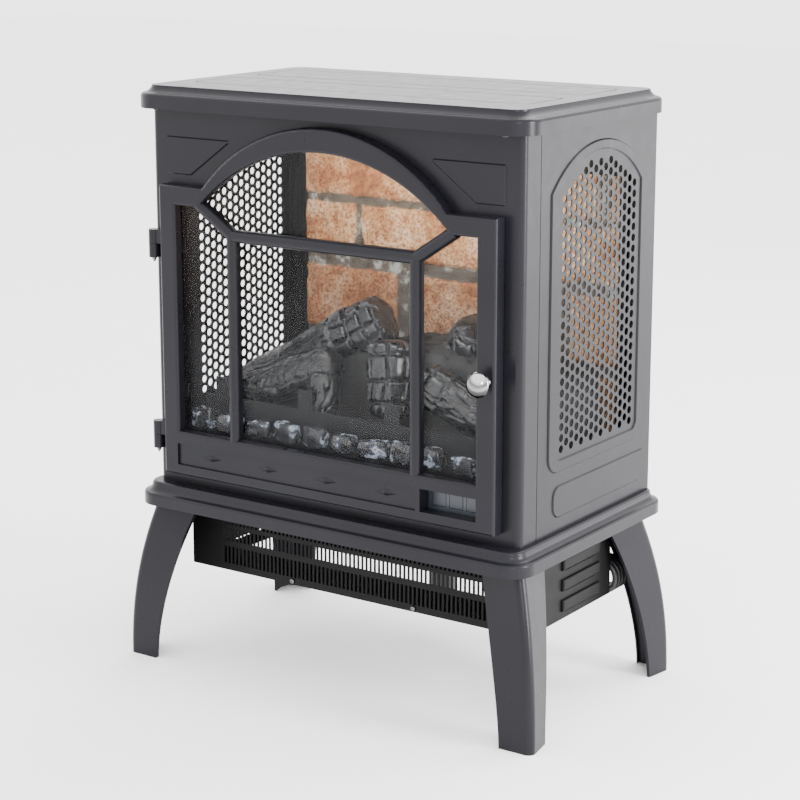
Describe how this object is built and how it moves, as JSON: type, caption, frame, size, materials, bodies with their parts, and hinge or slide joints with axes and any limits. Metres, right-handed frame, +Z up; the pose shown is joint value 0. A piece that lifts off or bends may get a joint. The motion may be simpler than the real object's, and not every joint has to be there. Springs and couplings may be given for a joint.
{
  "type": "electric fireplace",
  "caption": "Free-standing electric fireplace shaped like a small iron stove, with an arched glazed door, log fire behind it and a fan heater under the body.",
  "frame": {"origin": "on the floor, under the middle of the box round the whole stove without its cord", "axes": "+Z up, +X to the right seen from the front, -Y to the front"},
  "size_m": [0.4952, 0.3064, 0.6],
  "materials": {
    "body_paint": "satin",
    "inner_paint": "matt",
    "heater_sheet": "satin",
    "plated_steel": "satin",
    "bright_chrome": "polished",
    "door_casting": "satin",
    "aluminium": "satin",
    "clear_glass": "clear",
    "brick_print": "rough",
    "log_resin": "rough",
    "ember_resin": "glossy",
    "panel_plastic": "glossy",
    "key_plastic": "satin",
    "black_plastic": "satin",
    "board": "satin",
    "cord_pvc": "satin"
  },
  "bodies": {
    "stove": {"back_panel": "body_paint", "back_screws": "plated_steel", "backdrop_frame": "inner_paint", "base_tray": "body_paint", "blower_motor": "black_plastic", "blower_scroll": "heater_sheet", "brick_backdrop": "brick_print", "circuit_board": "board", "control_panel": "panel_plastic", "cord_hank": "cord_pvc", "cord_tie": "black_plastic", "door_catch": "black_plastic", "element_frame": "heater_sheet", "ember_bed": "ember_resin", "ember_chunks": "ember_resin", "fire_grate": "inner_paint", "firebox_ceiling": "inner_paint", "firebox_floor": "inner_paint", "front_panel": "body_paint", "grille_screws": "plated_steel", "heater_box": "heater_sheet", "heater_grille": "heater_sheet", "heating_element": "aluminium", "hinge_body_leaves": "body_paint", "hinge_pins": "plated_steel", "led_strip": "board", "leg_front_left": "body_paint", "leg_front_right": "body_paint", "leg_rear_left": "body_paint", "leg_rear_right": "body_paint", "leg_screws": "plated_steel", "lid_screws": "plated_steel", "light_box": "inner_paint", "log_centre": "log_resin", "log_front_right": "log_resin", "log_left_low": "log_resin", "log_long": "log_resin", "log_right": "log_resin", "log_right_low": "log_resin", "plug": "black_plastic", "plug_cord": "cord_pvc", "power_cord": "cord_pvc", "screw_strips": "inner_paint", "side_panel_left": "body_paint", "side_panel_right": "body_paint", "spindle_motor": "black_plastic", "strain_relief": "black_plastic", "top_lid": "body_paint"},
    "door": {"door_frame": "door_casting", "door_glass": "clear_glass", "glass_clips": "plated_steel", "door_knob": "bright_chrome", "knob_screw": "plated_steel", "hinge_door_leaves": "body_paint", "catch_striker": "plated_steel"},
    "key_power": {"key_power": "key_plastic"},
    "key_flame": {"key_flame": "key_plastic"},
    "key_heat": {"key_heat": "key_plastic"},
    "blower": {"blower_wheel": "aluminium"},
    "flame_rod": {"flame_spindle": "aluminium"}
  },
  "joints": [
    {"name": "door_hinge", "type": "hinge", "parent": "stove", "child": "door", "pos_m": [-0.212, -0.12435, 0.3], "axis": [0, 0, -1], "range_deg": [0, 120]},
    {"name": "power_press", "type": "slide", "parent": "stove", "child": "key_power", "axis": [0, 1, 0], "range_m": [0, 0.0015], "stiffness_N_per_m": 600, "springref_m": -0.001},
    {"name": "flame_press", "type": "slide", "parent": "stove", "child": "key_flame", "axis": [0, 1, 0], "range_m": [0, 0.0015], "stiffness_N_per_m": 600, "springref_m": -0.001},
    {"name": "heat_press", "type": "slide", "parent": "stove", "child": "key_heat", "axis": [0, 1, 0], "range_m": [0, 0.0015], "stiffness_N_per_m": 600, "springref_m": -0.001},
    {"name": "blower_spin", "type": "hinge", "parent": "stove", "child": "blower", "pos_m": [0, 0.03465, 0.152], "axis": [1, 0, 0], "continuous": true},
    {"name": "flame_rod_spin", "type": "hinge", "parent": "stove", "child": "flame_rod", "pos_m": [0, 0.12265, 0.3], "axis": [1, 0, 0], "continuous": true}
  ]
}
